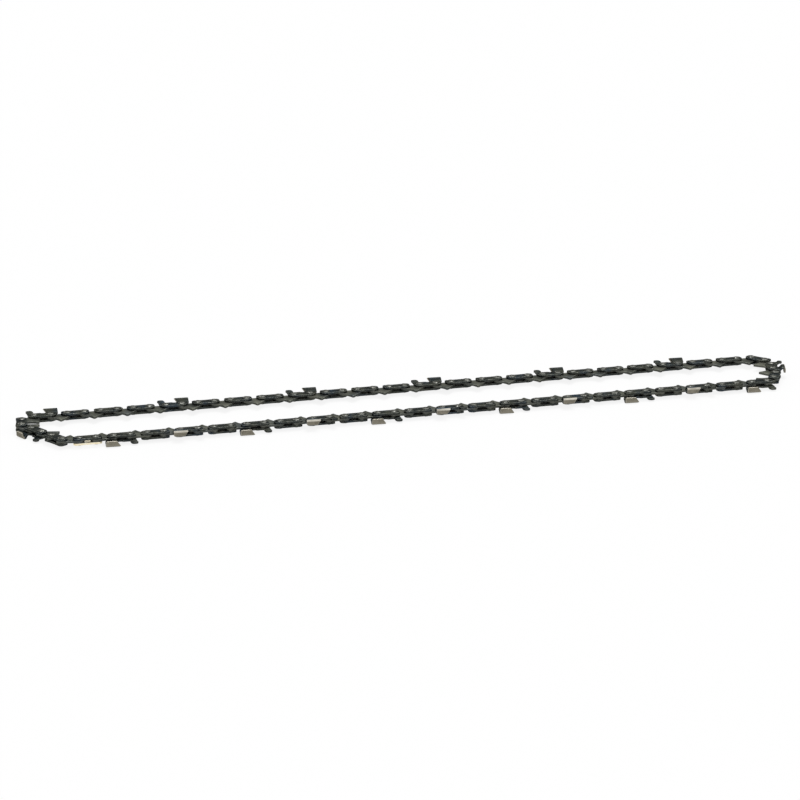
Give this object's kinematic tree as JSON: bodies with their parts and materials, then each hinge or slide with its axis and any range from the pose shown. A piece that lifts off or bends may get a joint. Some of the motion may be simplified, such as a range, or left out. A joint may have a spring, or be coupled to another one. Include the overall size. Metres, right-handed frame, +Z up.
{
  "type": "chainsaw chain loop",
  "caption": "Closed saw chain of riveted drive links, tie straps and left and right cutters, lying on its side in a slender loop.",
  "frame": {"origin": "on the surface that the chain lies on, under the middle of the loop", "axes": "+X along the loop, +Y from the near side to the far side, +Z up along the rivets"},
  "size_m": [0.4542, 0.064, 0.0064],
  "materials": {
    "link_steel": "oiled dark steel",
    "cutter_plating": "satin hard plating",
    "gold_strap": "gold passivated steel"
  },
  "bodies": {
    "far_pair_12_tie_straps": {"far_pair_12_tie_straps": "link_steel"},
    "far_pair_13_lower_cutter": {"far_pair_13_lower_cutter": "link_steel"},
    "far_pair_14_tie_straps": {"far_pair_14_tie_straps": "link_steel"},
    "far_pair_15_upper_cutter": {"far_pair_15_upper_cutter": "link_steel"},
    "far_pair_16_tie_straps": {"far_pair_16_tie_straps": "link_steel"},
    "far_pair_17_lower_cutter": {"far_pair_17_lower_cutter": "link_steel"},
    "far_pair_18_tie_straps": {"far_pair_18_tie_straps": "link_steel"},
    "far_pair_19_upper_cutter": {"far_pair_19_upper_cutter": "link_steel"},
    "far_pair_20_tie_straps": {"far_pair_20_tie_straps": "link_steel"},
    "far_pair_21_lower_cutter": {"far_pair_21_lower_cutter": "link_steel"},
    "far_pair_22_tie_straps": {"far_pair_22_tie_straps": "link_steel"},
    "far_pair_23_upper_cutter": {"far_pair_23_upper_cutter": "link_steel"},
    "left_end_1_drive_link": {"left_end_1_drive_link": "link_steel"},
    "left_end_2_tie_straps": {"left_end_2_tie_straps": "link_steel"},
    "left_end_3_drive_link": {"left_end_3_drive_link": "link_steel"},
    "left_end_4_lower_cutter": {"left_end_4_lower_cutter": "link_steel"},
    "left_end_5_drive_link": {"left_end_5_drive_link": "link_steel"},
    "left_end_6_tie_straps": {"left_end_6_tie_straps": "link_steel"},
    "left_end_7_drive_link": {"left_end_7_drive_link": "link_steel"},
    "near_pair_01_tie_straps": {"near_pair_01_tie_straps": "link_steel", "gold_marker_strap": "gold_strap"},
    "near_pair_02_lower_cutter": {"near_pair_02_lower_cutter": "link_steel"},
    "near_pair_03_tie_straps": {"near_pair_03_tie_straps": "link_steel"},
    "near_pair_04_upper_cutter": {"near_pair_04_upper_cutter": "link_steel"},
    "near_pair_05_tie_straps": {"near_pair_05_tie_straps": "link_steel"},
    "near_pair_06_lower_cutter": {"near_pair_06_lower_cutter": "link_steel"},
    "near_pair_07_tie_straps": {"near_pair_07_tie_straps": "link_steel"},
    "near_pair_08_upper_cutter": {"near_pair_08_upper_cutter": "link_steel"},
    "near_pair_09_tie_straps": {"near_pair_09_tie_straps": "link_steel"},
    "near_pair_10_lower_cutter": {"near_pair_10_lower_cutter": "link_steel"},
    "far_pair_11_upper_cutter": {"far_pair_11_upper_cutter": "link_steel"},
    "far_pair_10_tie_straps": {"far_pair_10_tie_straps": "link_steel"},
    "far_pair_09_lower_cutter": {"far_pair_09_lower_cutter": "link_steel"},
    "far_pair_08_tie_straps": {"far_pair_08_tie_straps": "link_steel"},
    "far_pair_07_upper_cutter": {"far_pair_07_upper_cutter": "link_steel"},
    "far_pair_06_tie_straps": {"far_pair_06_tie_straps": "link_steel"},
    "far_pair_05_lower_cutter": {"far_pair_05_lower_cutter": "link_steel"},
    "far_pair_04_tie_straps": {"far_pair_04_tie_straps": "link_steel"},
    "far_pair_03_upper_cutter": {"far_pair_03_upper_cutter": "link_steel"},
    "far_pair_02_tie_straps": {"far_pair_02_tie_straps": "link_steel"},
    "far_pair_01_lower_cutter": {"far_pair_01_lower_cutter": "link_steel"},
    "right_end_7_tie_straps": {"right_end_7_tie_straps": "link_steel"},
    "right_end_6_drive_link": {"right_end_6_drive_link": "link_steel"},
    "right_end_5_upper_cutter": {"right_end_5_upper_cutter": "link_steel"},
    "right_end_4_drive_link": {"right_end_4_drive_link": "link_steel"},
    "right_end_3_tie_straps": {"right_end_3_tie_straps": "link_steel"},
    "right_end_2_drive_link": {"right_end_2_drive_link": "link_steel"},
    "right_end_1_lower_cutter": {"right_end_1_lower_cutter": "link_steel"},
    "near_pair_21_tie_straps": {"near_pair_21_tie_straps": "link_steel"},
    "near_pair_20_upper_cutter": {"near_pair_20_upper_cutter": "link_steel"},
    "near_pair_19_tie_straps": {"near_pair_19_tie_straps": "link_steel"},
    "near_pair_18_lower_cutter": {"near_pair_18_lower_cutter": "link_steel"},
    "near_pair_17_tie_straps": {"near_pair_17_tie_straps": "link_steel"},
    "near_pair_16_upper_cutter": {"near_pair_16_upper_cutter": "link_steel"},
    "near_pair_15_tie_straps": {"near_pair_15_tie_straps": "link_steel"},
    "near_pair_14_lower_cutter": {"near_pair_14_lower_cutter": "link_steel"},
    "near_pair_13_tie_straps": {"near_pair_13_tie_straps": "link_steel"},
    "near_pair_12_upper_cutter": {"near_pair_12_upper_cutter": "link_steel"},
    "near_pair_11_tie_straps": {"near_pair_11_tie_straps": "link_steel"}
  },
  "joints": [
    {"name": "pivot_of_far_pair_13_lower_cutter", "type": "hinge", "parent": "far_pair_12_tie_straps", "child": "far_pair_13_lower_cutter", "pos_m": [-0.00939, 0.02461, 0.0032], "axis": [0, 0, 1], "range_deg": [-0.39, 6.26]},
    {"name": "pivot_of_far_pair_14_tie_straps", "type": "hinge", "parent": "far_pair_13_lower_cutter", "child": "far_pair_14_tie_straps", "pos_m": [-0.02803, 0.02461, 0.0032], "axis": [0, 0, 1], "range_deg": [-0.4, 6.3]},
    {"name": "pivot_of_far_pair_15_upper_cutter", "type": "hinge", "parent": "far_pair_14_tie_straps", "child": "far_pair_15_upper_cutter", "pos_m": [-0.04667, 0.02461, 0.0032], "axis": [0, 0, 1], "range_deg": [-0.41, 6.46]},
    {"name": "pivot_of_far_pair_16_tie_straps", "type": "hinge", "parent": "far_pair_15_upper_cutter", "child": "far_pair_16_tie_straps", "pos_m": [-0.06531, 0.02461, 0.0032], "axis": [0, 0, 1], "range_deg": [-0.42, 6.73]},
    {"name": "pivot_of_far_pair_17_lower_cutter", "type": "hinge", "parent": "far_pair_16_tie_straps", "child": "far_pair_17_lower_cutter", "pos_m": [-0.08395, 0.02461, 0.0032], "axis": [0, 0, 1], "range_deg": [-0.44, 7.03]},
    {"name": "pivot_of_far_pair_18_tie_straps", "type": "hinge", "parent": "far_pair_17_lower_cutter", "child": "far_pair_18_tie_straps", "pos_m": [-0.10259, 0.02461, 0.0032], "axis": [0, 0, 1], "range_deg": [-0.46, 7.31]},
    {"name": "pivot_of_far_pair_19_upper_cutter", "type": "hinge", "parent": "far_pair_18_tie_straps", "child": "far_pair_19_upper_cutter", "pos_m": [-0.12123, 0.02461, 0.0032], "axis": [0, 0, 1], "range_deg": [-0.47, 7.45]},
    {"name": "pivot_of_far_pair_20_tie_straps", "type": "hinge", "parent": "far_pair_19_upper_cutter", "child": "far_pair_20_tie_straps", "pos_m": [-0.13987, 0.02461, 0.0032], "axis": [0, 0, 1], "range_deg": [-0.46, 7.4]},
    {"name": "pivot_of_far_pair_21_lower_cutter", "type": "hinge", "parent": "far_pair_20_tie_straps", "child": "far_pair_21_lower_cutter", "pos_m": [-0.15851, 0.02461, 0.0032], "axis": [0, 0, 1], "range_deg": [-0.45, 7.17]},
    {"name": "pivot_of_far_pair_22_tie_straps", "type": "hinge", "parent": "far_pair_21_lower_cutter", "child": "far_pair_22_tie_straps", "pos_m": [-0.17715, 0.02461, 0.0032], "axis": [0, 0, 1], "range_deg": [-0.43, 6.89]},
    {"name": "pivot_of_far_pair_23_upper_cutter", "type": "hinge", "parent": "far_pair_22_tie_straps", "child": "far_pair_23_upper_cutter", "pos_m": [-0.19579, 0.02461, 0.0032], "axis": [0, 0, 1], "range_deg": [-0.43, 6.81]},
    {"name": "pivot_of_left_end_1_drive_link", "type": "hinge", "parent": "far_pair_23_upper_cutter", "child": "left_end_1_drive_link", "pos_m": [-0.21443, 0.02461, 0.0032], "axis": [0, 0, 1], "range_deg": [-30.45, 1.85]},
    {"name": "pivot_of_left_end_2_tie_straps", "type": "hinge", "parent": "left_end_1_drive_link", "child": "left_end_2_tie_straps", "pos_m": [-0.22197, 0.01913, 0.0032], "axis": [0, 0, 1], "range_deg": [-33.05, 2]},
    {"name": "pivot_of_left_end_3_drive_link", "type": "hinge", "parent": "left_end_2_tie_straps", "child": "left_end_3_drive_link", "pos_m": [-0.22327, 0.0099, 0.0032], "axis": [0, 0, 1], "range_deg": [-25.38, 1.54]},
    {"name": "pivot_of_left_end_4_lower_cutter", "type": "hinge", "parent": "left_end_3_drive_link", "child": "left_end_4_lower_cutter", "pos_m": [-0.21888, 0.00168, 0.0032], "axis": [0, 0, 1], "range_deg": [-0.42, 6.77]},
    {"name": "pivot_of_left_end_5_drive_link", "type": "hinge", "parent": "left_end_4_lower_cutter", "child": "left_end_5_drive_link", "pos_m": [-0.21449, -0.00655, 0.0032], "axis": [0, 0, 1], "range_deg": [-0.17, 2.49]},
    {"name": "pivot_of_left_end_6_tie_straps", "type": "hinge", "parent": "left_end_5_drive_link", "child": "left_end_6_tie_straps", "pos_m": [-0.21011, -0.01477, 0.0032], "axis": [0, 0, 1], "range_deg": [-1.79, 0.13]},
    {"name": "pivot_of_left_end_7_drive_link", "type": "hinge", "parent": "left_end_6_tie_straps", "child": "left_end_7_drive_link", "pos_m": [-0.20572, -0.02299, 0.0032], "axis": [0, 0, 1], "range_deg": [-58.02, 3.5]},
    {"name": "pivot_of_near_pair_01_tie_straps", "type": "hinge", "parent": "left_end_7_drive_link", "child": "near_pair_01_tie_straps", "pos_m": [-0.19654, -0.02461, 0.0032], "axis": [0, 0, 1], "range_deg": [-9.42, 0.58]},
    {"name": "pivot_of_near_pair_02_lower_cutter", "type": "hinge", "parent": "near_pair_01_tie_straps", "child": "near_pair_02_lower_cutter", "pos_m": [-0.1779, -0.02461, 0.0032], "axis": [0, 0, 1], "range_deg": [-0.36, 5.61]},
    {"name": "pivot_of_near_pair_03_tie_straps", "type": "hinge", "parent": "near_pair_02_lower_cutter", "child": "near_pair_03_tie_straps", "pos_m": [-0.15926, -0.02461, 0.0032], "axis": [0, 0, 1], "range_deg": [-0.46, 7.28]},
    {"name": "pivot_of_near_pair_04_upper_cutter", "type": "hinge", "parent": "near_pair_03_tie_straps", "child": "near_pair_04_upper_cutter", "pos_m": [-0.14062, -0.02461, 0.0032], "axis": [0, 0, 1], "range_deg": [-0.48, 7.72]},
    {"name": "pivot_of_near_pair_05_tie_straps", "type": "hinge", "parent": "near_pair_04_upper_cutter", "child": "near_pair_05_tie_straps", "pos_m": [-0.12198, -0.02461, 0.0032], "axis": [0, 0, 1], "range_deg": [-0.47, 7.6]},
    {"name": "pivot_of_near_pair_06_lower_cutter", "type": "hinge", "parent": "near_pair_05_tie_straps", "child": "near_pair_06_lower_cutter", "pos_m": [-0.10334, -0.02461, 0.0032], "axis": [0, 0, 1], "range_deg": [-0.46, 7.36]},
    {"name": "pivot_of_near_pair_07_tie_straps", "type": "hinge", "parent": "near_pair_06_lower_cutter", "child": "near_pair_07_tie_straps", "pos_m": [-0.0847, -0.02461, 0.0032], "axis": [0, 0, 1], "range_deg": [-0.45, 7.22]},
    {"name": "pivot_of_near_pair_08_upper_cutter", "type": "hinge", "parent": "near_pair_07_tie_straps", "child": "near_pair_08_upper_cutter", "pos_m": [-0.06606, -0.02461, 0.0032], "axis": [0, 0, 1], "range_deg": [-0.45, 7.24]},
    {"name": "pivot_of_near_pair_09_tie_straps", "type": "hinge", "parent": "near_pair_08_upper_cutter", "child": "near_pair_09_tie_straps", "pos_m": [-0.04742, -0.02461, 0.0032], "axis": [0, 0, 1], "range_deg": [-0.46, 7.4]},
    {"name": "pivot_of_near_pair_10_lower_cutter", "type": "hinge", "parent": "near_pair_09_tie_straps", "child": "near_pair_10_lower_cutter", "pos_m": [-0.02878, -0.02461, 0.0032], "axis": [0, 0, 1], "range_deg": [-0.48, 7.63]},
    {"name": "pivot_of_far_pair_11_upper_cutter", "type": "hinge", "parent": "far_pair_12_tie_straps", "child": "far_pair_11_upper_cutter", "pos_m": [0.00925, 0.02461, 0.0032], "axis": [0, 0, -1], "range_deg": [-0.4, 6.35]},
    {"name": "pivot_of_far_pair_10_tie_straps", "type": "hinge", "parent": "far_pair_11_upper_cutter", "child": "far_pair_10_tie_straps", "pos_m": [0.02789, 0.02461, 0.0032], "axis": [0, 0, -1], "range_deg": [-0.41, 6.53]},
    {"name": "pivot_of_far_pair_09_lower_cutter", "type": "hinge", "parent": "far_pair_10_tie_straps", "child": "far_pair_09_lower_cutter", "pos_m": [0.04653, 0.02461, 0.0032], "axis": [0, 0, -1], "range_deg": [-0.42, 6.76]},
    {"name": "pivot_of_far_pair_08_tie_straps", "type": "hinge", "parent": "far_pair_09_lower_cutter", "child": "far_pair_08_tie_straps", "pos_m": [0.06517, 0.02461, 0.0032], "axis": [0, 0, -1], "range_deg": [-0.44, 6.97]},
    {"name": "pivot_of_far_pair_07_upper_cutter", "type": "hinge", "parent": "far_pair_08_tie_straps", "child": "far_pair_07_upper_cutter", "pos_m": [0.08381, 0.02461, 0.0032], "axis": [0, 0, -1], "range_deg": [-0.44, 7.08]},
    {"name": "pivot_of_far_pair_06_tie_straps", "type": "hinge", "parent": "far_pair_07_upper_cutter", "child": "far_pair_06_tie_straps", "pos_m": [0.10245, 0.02461, 0.0032], "axis": [0, 0, -1], "range_deg": [-0.44, 7.03]},
    {"name": "pivot_of_far_pair_05_lower_cutter", "type": "hinge", "parent": "far_pair_06_tie_straps", "child": "far_pair_05_lower_cutter", "pos_m": [0.12109, 0.02461, 0.0032], "axis": [0, 0, -1], "range_deg": [-0.43, 6.83]},
    {"name": "pivot_of_far_pair_04_tie_straps", "type": "hinge", "parent": "far_pair_05_lower_cutter", "child": "far_pair_04_tie_straps", "pos_m": [0.13973, 0.02461, 0.0032], "axis": [0, 0, -1], "range_deg": [-0.41, 6.6]},
    {"name": "pivot_of_far_pair_03_upper_cutter", "type": "hinge", "parent": "far_pair_04_tie_straps", "child": "far_pair_03_upper_cutter", "pos_m": [0.15837, 0.02461, 0.0032], "axis": [0, 0, -1], "range_deg": [-0.41, 6.53]},
    {"name": "pivot_of_far_pair_02_tie_straps", "type": "hinge", "parent": "far_pair_03_upper_cutter", "child": "far_pair_02_tie_straps", "pos_m": [0.17701, 0.02461, 0.0032], "axis": [0, 0, -1], "range_deg": [-0.44, 7]},
    {"name": "pivot_of_far_pair_01_lower_cutter", "type": "hinge", "parent": "far_pair_02_tie_straps", "child": "far_pair_01_lower_cutter", "pos_m": [0.19565, 0.02461, 0.0032], "axis": [0, 0, -1], "range_deg": [-0.54, 8.64]},
    {"name": "pivot_of_right_end_7_tie_straps", "type": "hinge", "parent": "far_pair_01_lower_cutter", "child": "right_end_7_tie_straps", "pos_m": [0.21429, 0.02461, 0.0032], "axis": [0, 0, -1], "range_deg": [-40.81, 2.47]},
    {"name": "pivot_of_right_end_6_drive_link", "type": "hinge", "parent": "right_end_7_tie_straps", "child": "right_end_6_drive_link", "pos_m": [0.22003, 0.01726, 0.0032], "axis": [0, 0, -1], "range_deg": [-27.08, 1.64]},
    {"name": "pivot_of_right_end_5_upper_cutter", "type": "hinge", "parent": "right_end_6_drive_link", "child": "right_end_5_upper_cutter", "pos_m": [0.22003, 0.00794, 0.0032], "axis": [0, 0, -1], "range_deg": [-7.96, 0.5]},
    {"name": "pivot_of_right_end_4_drive_link", "type": "hinge", "parent": "right_end_5_upper_cutter", "child": "right_end_4_drive_link", "pos_m": [0.21777, -0.0011, 0.0032], "axis": [0, 0, -1], "range_deg": [-0.11, 1.6]},
    {"name": "pivot_of_right_end_3_tie_straps", "type": "hinge", "parent": "right_end_4_drive_link", "child": "right_end_3_tie_straps", "pos_m": [0.21552, -0.01014, 0.0032], "axis": [0, 0, -1], "range_deg": [-17.04, 1.04]},
    {"name": "pivot_of_right_end_2_drive_link", "type": "hinge", "parent": "right_end_3_tie_straps", "child": "right_end_2_drive_link", "pos_m": [0.21114, -0.01837, 0.0032], "axis": [0, 0, -1], "range_deg": [-24.23, 1.47]},
    {"name": "pivot_of_right_end_1_lower_cutter", "type": "hinge", "parent": "right_end_2_drive_link", "child": "right_end_1_lower_cutter", "pos_m": [0.20422, -0.02461, 0.0032], "axis": [0, 0, -1], "range_deg": [-38.77, 2.34]},
    {"name": "pivot_of_near_pair_21_tie_straps", "type": "hinge", "parent": "right_end_1_lower_cutter", "child": "near_pair_21_tie_straps", "pos_m": [0.1949, -0.02461, 0.0032], "axis": [0, 0, -1], "range_deg": [-0.35, 5.51]},
    {"name": "pivot_of_near_pair_20_upper_cutter", "type": "hinge", "parent": "near_pair_21_tie_straps", "child": "near_pair_20_upper_cutter", "pos_m": [0.17626, -0.02461, 0.0032], "axis": [0, 0, -1], "range_deg": [-0.47, 7.48]},
    {"name": "pivot_of_near_pair_19_tie_straps", "type": "hinge", "parent": "near_pair_20_upper_cutter", "child": "near_pair_19_tie_straps", "pos_m": [0.15762, -0.02461, 0.0032], "axis": [0, 0, -1], "range_deg": [-0.45, 7.25]},
    {"name": "pivot_of_near_pair_18_lower_cutter", "type": "hinge", "parent": "near_pair_19_tie_straps", "child": "near_pair_18_lower_cutter", "pos_m": [0.13898, -0.02461, 0.0032], "axis": [0, 0, -1], "range_deg": [-0.44, 6.97]},
    {"name": "pivot_of_near_pair_17_tie_straps", "type": "hinge", "parent": "near_pair_18_lower_cutter", "child": "near_pair_17_tie_straps", "pos_m": [0.12034, -0.02461, 0.0032], "axis": [0, 0, -1], "range_deg": [-0.41, 6.8]},
    {"name": "pivot_of_near_pair_16_upper_cutter", "type": "hinge", "parent": "near_pair_17_tie_straps", "child": "near_pair_16_upper_cutter", "pos_m": [0.1017, -0.02461, 0.0032], "axis": [0, 0, -1], "range_deg": [-0.43, 6.86]},
    {"name": "pivot_of_near_pair_15_tie_straps", "type": "hinge", "parent": "near_pair_16_upper_cutter", "child": "near_pair_15_tie_straps", "pos_m": [0.08306, -0.02461, 0.0032], "axis": [0, 0, -1], "range_deg": [-0.44, 7.07]},
    {"name": "pivot_of_near_pair_14_lower_cutter", "type": "hinge", "parent": "near_pair_15_tie_straps", "child": "near_pair_14_lower_cutter", "pos_m": [0.06442, -0.02461, 0.0032], "axis": [0, 0, -1], "range_deg": [-0.46, 7.36]},
    {"name": "pivot_of_near_pair_13_tie_straps", "type": "hinge", "parent": "near_pair_14_lower_cutter", "child": "near_pair_13_tie_straps", "pos_m": [0.04578, -0.02461, 0.0032], "axis": [0, 0, -1], "range_deg": [-0.48, 7.66]},
    {"name": "pivot_of_near_pair_12_upper_cutter", "type": "hinge", "parent": "near_pair_13_tie_straps", "child": "near_pair_12_upper_cutter", "pos_m": [0.02714, -0.02461, 0.0032], "axis": [0, 0, -1], "range_deg": [-0.49, 7.87]},
    {"name": "pivot_of_near_pair_11_tie_straps", "type": "hinge", "parent": "near_pair_12_upper_cutter", "child": "near_pair_11_tie_straps", "pos_m": [0.0085, -0.02461, 0.0032], "axis": [0, 0, -1], "range_deg": [-0.49, 7.93]}
  ],
  "couplings": [
    {"joint": "pivot_of_far_pair_13_lower_cutter", "follows": "pivot_of_near_pair_17_tie_straps", "ratio": 0.91724},
    {"joint": "pivot_of_far_pair_14_tie_straps", "follows": "pivot_of_near_pair_17_tie_straps", "ratio": 0.92292},
    {"joint": "pivot_of_far_pair_15_upper_cutter", "follows": "pivot_of_near_pair_17_tie_straps", "ratio": 0.94697},
    {"joint": "pivot_of_far_pair_16_tie_straps", "follows": "pivot_of_near_pair_17_tie_straps", "ratio": 0.9856},
    {"joint": "pivot_of_far_pair_17_lower_cutter", "follows": "pivot_of_near_pair_17_tie_straps", "ratio": 1.0308},
    {"joint": "pivot_of_far_pair_18_tie_straps", "follows": "pivot_of_near_pair_17_tie_straps", "ratio": 1.0708},
    {"joint": "pivot_of_far_pair_19_upper_cutter", "follows": "pivot_of_near_pair_17_tie_straps", "ratio": 1.0922},
    {"joint": "pivot_of_far_pair_20_tie_straps", "follows": "pivot_of_near_pair_17_tie_straps", "ratio": 1.0852},
    {"joint": "pivot_of_far_pair_21_lower_cutter", "follows": "pivot_of_near_pair_17_tie_straps", "ratio": 1.0513},
    {"joint": "pivot_of_far_pair_22_tie_straps", "follows": "pivot_of_near_pair_17_tie_straps", "ratio": 1.0092},
    {"joint": "pivot_of_far_pair_23_upper_cutter", "follows": "pivot_of_near_pair_17_tie_straps", "ratio": 0.99728},
    {"joint": "pivot_of_left_end_1_drive_link", "follows": "pivot_of_near_pair_17_tie_straps", "ratio": -4.4716},
    {"joint": "pivot_of_left_end_2_tie_straps", "follows": "pivot_of_near_pair_17_tie_straps", "ratio": -4.8536},
    {"joint": "pivot_of_left_end_3_drive_link", "follows": "pivot_of_near_pair_17_tie_straps", "ratio": -3.7269},
    {"joint": "pivot_of_left_end_4_lower_cutter", "follows": "pivot_of_near_pair_17_tie_straps", "ratio": 0.99159},
    {"joint": "pivot_of_left_end_5_drive_link", "follows": "pivot_of_near_pair_17_tie_straps", "ratio": 0.36272},
    {"joint": "pivot_of_left_end_6_tie_straps", "follows": "pivot_of_near_pair_17_tie_straps", "ratio": -0.26074},
    {"joint": "pivot_of_left_end_7_drive_link", "follows": "pivot_of_near_pair_17_tie_straps", "ratio": -8.5233},
    {"joint": "pivot_of_near_pair_01_tie_straps", "follows": "pivot_of_near_pair_17_tie_straps", "ratio": -1.3815},
    {"joint": "pivot_of_near_pair_02_lower_cutter", "follows": "pivot_of_near_pair_17_tie_straps", "ratio": 0.82187},
    {"joint": "pivot_of_near_pair_03_tie_straps", "follows": "pivot_of_near_pair_17_tie_straps", "ratio": 1.0665},
    {"joint": "pivot_of_near_pair_04_upper_cutter", "follows": "pivot_of_near_pair_17_tie_straps", "ratio": 1.1323},
    {"joint": "pivot_of_near_pair_05_tie_straps", "follows": "pivot_of_near_pair_17_tie_straps", "ratio": 1.1141},
    {"joint": "pivot_of_near_pair_06_lower_cutter", "follows": "pivot_of_near_pair_17_tie_straps", "ratio": 1.0787},
    {"joint": "pivot_of_near_pair_07_tie_straps", "follows": "pivot_of_near_pair_17_tie_straps", "ratio": 1.058},
    {"joint": "pivot_of_near_pair_08_upper_cutter", "follows": "pivot_of_near_pair_17_tie_straps", "ratio": 1.0614},
    {"joint": "pivot_of_near_pair_09_tie_straps", "follows": "pivot_of_near_pair_17_tie_straps", "ratio": 1.0853},
    {"joint": "pivot_of_near_pair_10_lower_cutter", "follows": "pivot_of_near_pair_17_tie_straps", "ratio": 1.1191},
    {"joint": "pivot_of_far_pair_11_upper_cutter", "follows": "pivot_of_near_pair_17_tie_straps", "ratio": 0.92982},
    {"joint": "pivot_of_far_pair_10_tie_straps", "follows": "pivot_of_near_pair_17_tie_straps", "ratio": 0.95683},
    {"joint": "pivot_of_far_pair_09_lower_cutter", "follows": "pivot_of_near_pair_17_tie_straps", "ratio": 0.99082},
    {"joint": "pivot_of_far_pair_08_tie_straps", "follows": "pivot_of_near_pair_17_tie_straps", "ratio": 1.0213},
    {"joint": "pivot_of_far_pair_07_upper_cutter", "follows": "pivot_of_near_pair_17_tie_straps", "ratio": 1.037},
    {"joint": "pivot_of_far_pair_06_tie_straps", "follows": "pivot_of_near_pair_17_tie_straps", "ratio": 1.0299},
    {"joint": "pivot_of_far_pair_05_lower_cutter", "follows": "pivot_of_near_pair_17_tie_straps", "ratio": 1.0012},
    {"joint": "pivot_of_far_pair_04_tie_straps", "follows": "pivot_of_near_pair_17_tie_straps", "ratio": 0.9664},
    {"joint": "pivot_of_far_pair_03_upper_cutter", "follows": "pivot_of_near_pair_17_tie_straps", "ratio": 0.95712},
    {"joint": "pivot_of_far_pair_02_tie_straps", "follows": "pivot_of_near_pair_17_tie_straps", "ratio": 1.0258},
    {"joint": "pivot_of_far_pair_01_lower_cutter", "follows": "pivot_of_near_pair_17_tie_straps", "ratio": 1.2669},
    {"joint": "pivot_of_right_end_7_tie_straps", "follows": "pivot_of_near_pair_17_tie_straps", "ratio": -5.9944},
    {"joint": "pivot_of_right_end_6_drive_link", "follows": "pivot_of_near_pair_17_tie_straps", "ratio": -3.9774},
    {"joint": "pivot_of_right_end_5_upper_cutter", "follows": "pivot_of_near_pair_17_tie_straps", "ratio": -1.1672},
    {"joint": "pivot_of_right_end_4_drive_link", "follows": "pivot_of_near_pair_17_tie_straps", "ratio": 0.23252},
    {"joint": "pivot_of_right_end_3_tie_straps", "follows": "pivot_of_near_pair_17_tie_straps", "ratio": -2.5019},
    {"joint": "pivot_of_right_end_2_drive_link", "follows": "pivot_of_near_pair_17_tie_straps", "ratio": -3.5573},
    {"joint": "pivot_of_right_end_1_lower_cutter", "follows": "pivot_of_near_pair_17_tie_straps", "ratio": -5.6946},
    {"joint": "pivot_of_near_pair_21_tie_straps", "follows": "pivot_of_near_pair_17_tie_straps", "ratio": 0.80617},
    {"joint": "pivot_of_near_pair_20_upper_cutter", "follows": "pivot_of_near_pair_17_tie_straps", "ratio": 1.0961},
    {"joint": "pivot_of_near_pair_19_tie_straps", "follows": "pivot_of_near_pair_17_tie_straps", "ratio": 1.062},
    {"joint": "pivot_of_near_pair_18_lower_cutter", "follows": "pivot_of_near_pair_17_tie_straps", "ratio": 1.0211},
    {"joint": "pivot_of_near_pair_16_upper_cutter", "follows": "pivot_of_near_pair_17_tie_straps", "ratio": 1.0059},
    {"joint": "pivot_of_near_pair_15_tie_straps", "follows": "pivot_of_near_pair_17_tie_straps", "ratio": 1.0354},
    {"joint": "pivot_of_near_pair_14_lower_cutter", "follows": "pivot_of_near_pair_17_tie_straps", "ratio": 1.0787},
    {"joint": "pivot_of_near_pair_13_tie_straps", "follows": "pivot_of_near_pair_17_tie_straps", "ratio": 1.1225},
    {"joint": "pivot_of_near_pair_12_upper_cutter", "follows": "pivot_of_near_pair_17_tie_straps", "ratio": 1.1536},
    {"joint": "pivot_of_near_pair_11_tie_straps", "follows": "pivot_of_near_pair_17_tie_straps", "ratio": 1.163}
  ]
}
